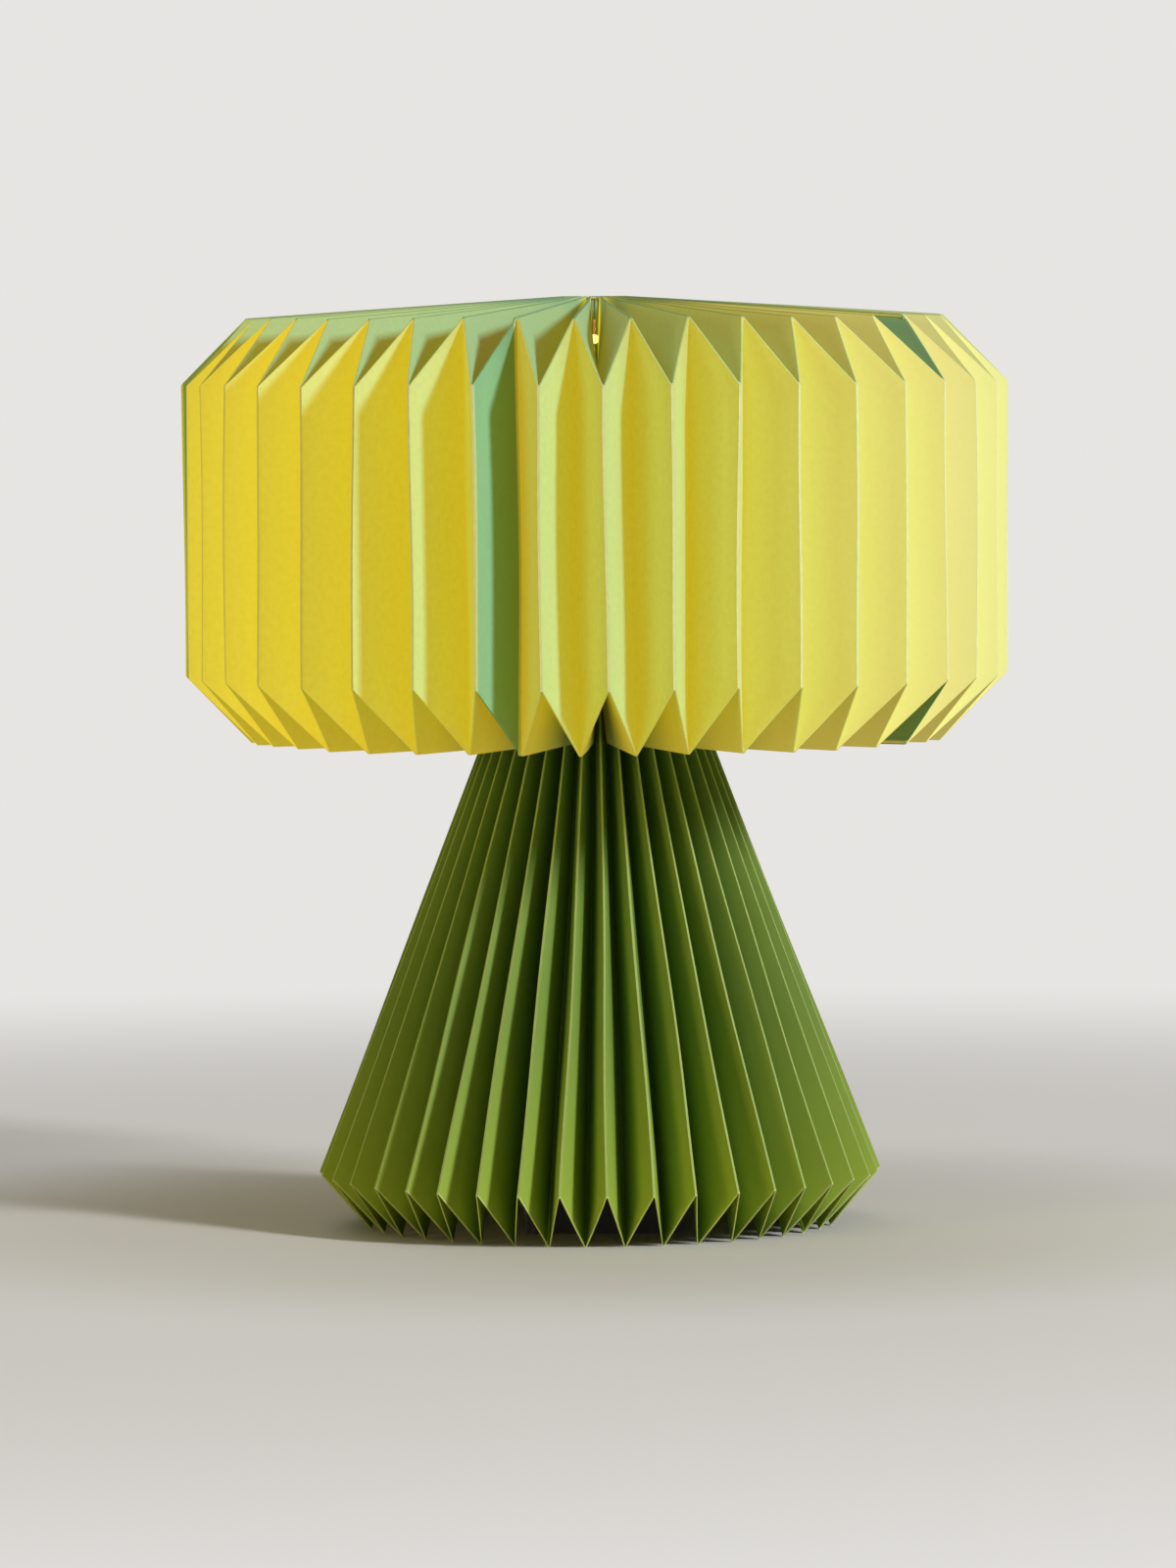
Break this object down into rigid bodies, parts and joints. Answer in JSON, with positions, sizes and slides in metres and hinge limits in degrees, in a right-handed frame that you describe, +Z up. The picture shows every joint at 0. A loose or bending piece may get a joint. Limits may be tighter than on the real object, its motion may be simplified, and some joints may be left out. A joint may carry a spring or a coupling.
{
  "type": "paper lantern",
  "caption": "Fold-out accordion paper lantern with a pleated drum shade on a pleated cone base, lit inside by a battery lamp string",
  "frame": {"origin": "on the table, under the lantern's axis", "axes": "+Z up along the axis; -Y towards the viewer of the picture, at a mountain fold; +X to the right"},
  "size_m": [0.2664, 0.2664, 0.2996],
  "materials": {
    "shade_paper": "matte mint paper, glowing yellow where lit from inside",
    "base_paper": "matte green paper",
    "plated_steel": "bright plated",
    "thread": "waxed twisted thread",
    "case_plastic": "moulded, fine texture",
    "black_plastic": "moulded, satin",
    "circuit_board": "solder mask",
    "copper_wire": "bare enamelled copper",
    "lamp_resin": "clear resin bead, lit",
    "cell_jacket": "plain printed film"
  },
  "bodies": {
    "lantern": {"shade_sheet_1": "shade_paper", "base_sheet_1": "base_paper", "upper_magnet_fixed": "plated_steel", "lower_magnet_fixed": "plated_steel", "base_magnet_fixed": "plated_steel", "top_gather_thread": "thread", "neck_gather_thread": "thread", "battery_case": "case_plastic", "battery_1": "cell_jacket", "battery_2": "cell_jacket", "battery_3": "cell_jacket", "contact_spring_1": "plated_steel", "contact_spring_2": "plated_steel", "contact_spring_3": "plated_steel", "contact_plate_front": "plated_steel", "contact_plate_back": "plated_steel", "contact_link_front": "plated_steel", "contact_link_back": "plated_steel", "timer_board": "circuit_board", "strain_relief": "black_plastic", "lamp_wire": "copper_wire", "lamp_1": "lamp_resin", "lamp_2": "lamp_resin", "lamp_3": "lamp_resin", "lamp_4": "lamp_resin", "lamp_5": "lamp_resin", "lamp_6": "lamp_resin", "lamp_7": "lamp_resin", "lamp_8": "lamp_resin", "lamp_9": "lamp_resin"},
    "second_sheets": {"shade_sheet_2": "shade_paper", "base_sheet_2": "base_paper"},
    "third_sheets": {"shade_sheet_3": "shade_paper", "base_sheet_3": "base_paper"},
    "fourth_sheets": {"shade_sheet_4": "shade_paper", "base_sheet_4": "base_paper"},
    "fifth_sheets": {"shade_sheet_5": "shade_paper", "base_sheet_5": "base_paper"},
    "closing_edge": {"upper_magnet_closing": "plated_steel", "lower_magnet_closing": "plated_steel", "base_magnet_closing": "plated_steel"},
    "door": {"battery_door": "case_plastic"},
    "switch": {"switch_knob": "black_plastic"}
  },
  "joints": [
    {"name": "first_fold", "type": "hinge", "parent": "lantern", "child": "second_sheets", "pos_m": [0, 0, 0], "axis": [0, 0, 1], "range_deg": [-69, 0], "deforming": ["shade_sheet_1", "base_sheet_1", "top_gather_thread", "neck_gather_thread"]},
    {"name": "second_fold", "type": "hinge", "parent": "second_sheets", "child": "third_sheets", "pos_m": [0, 0, 0], "axis": [0, 0, 1], "range_deg": [-69, 0], "deforming": ["shade_sheet_2", "base_sheet_2"]},
    {"name": "third_fold", "type": "hinge", "parent": "third_sheets", "child": "fourth_sheets", "pos_m": [0, 0, 0], "axis": [0, 0, 1], "range_deg": [-69, 0], "deforming": ["shade_sheet_3", "base_sheet_3"]},
    {"name": "fourth_fold", "type": "hinge", "parent": "fourth_sheets", "child": "fifth_sheets", "pos_m": [0, 0, 0], "axis": [0, 0, 1], "range_deg": [-69, 0], "deforming": ["shade_sheet_4", "base_sheet_4"]},
    {"name": "fifth_fold", "type": "hinge", "parent": "fifth_sheets", "child": "closing_edge", "pos_m": [0, 0, 0], "axis": [0, 0, 1], "range_deg": [-69, 0], "deforming": ["shade_sheet_5", "base_sheet_5"]},
    {"name": "door_slide", "type": "slide", "parent": "lantern", "child": "door", "axis": [0, -1, 0], "range_m": [0, 0.025]},
    {"name": "switch_slide", "type": "slide", "parent": "lantern", "child": "switch", "axis": [1, 0, 0], "range_m": [-0.003, 0.003]}
  ],
  "couplings": [
    {"joint": "second_fold", "follows": "first_fold", "ratio": 1},
    {"joint": "third_fold", "follows": "first_fold", "ratio": 1},
    {"joint": "fourth_fold", "follows": "first_fold", "ratio": 1},
    {"joint": "fifth_fold", "follows": "first_fold", "ratio": 1}
  ]
}
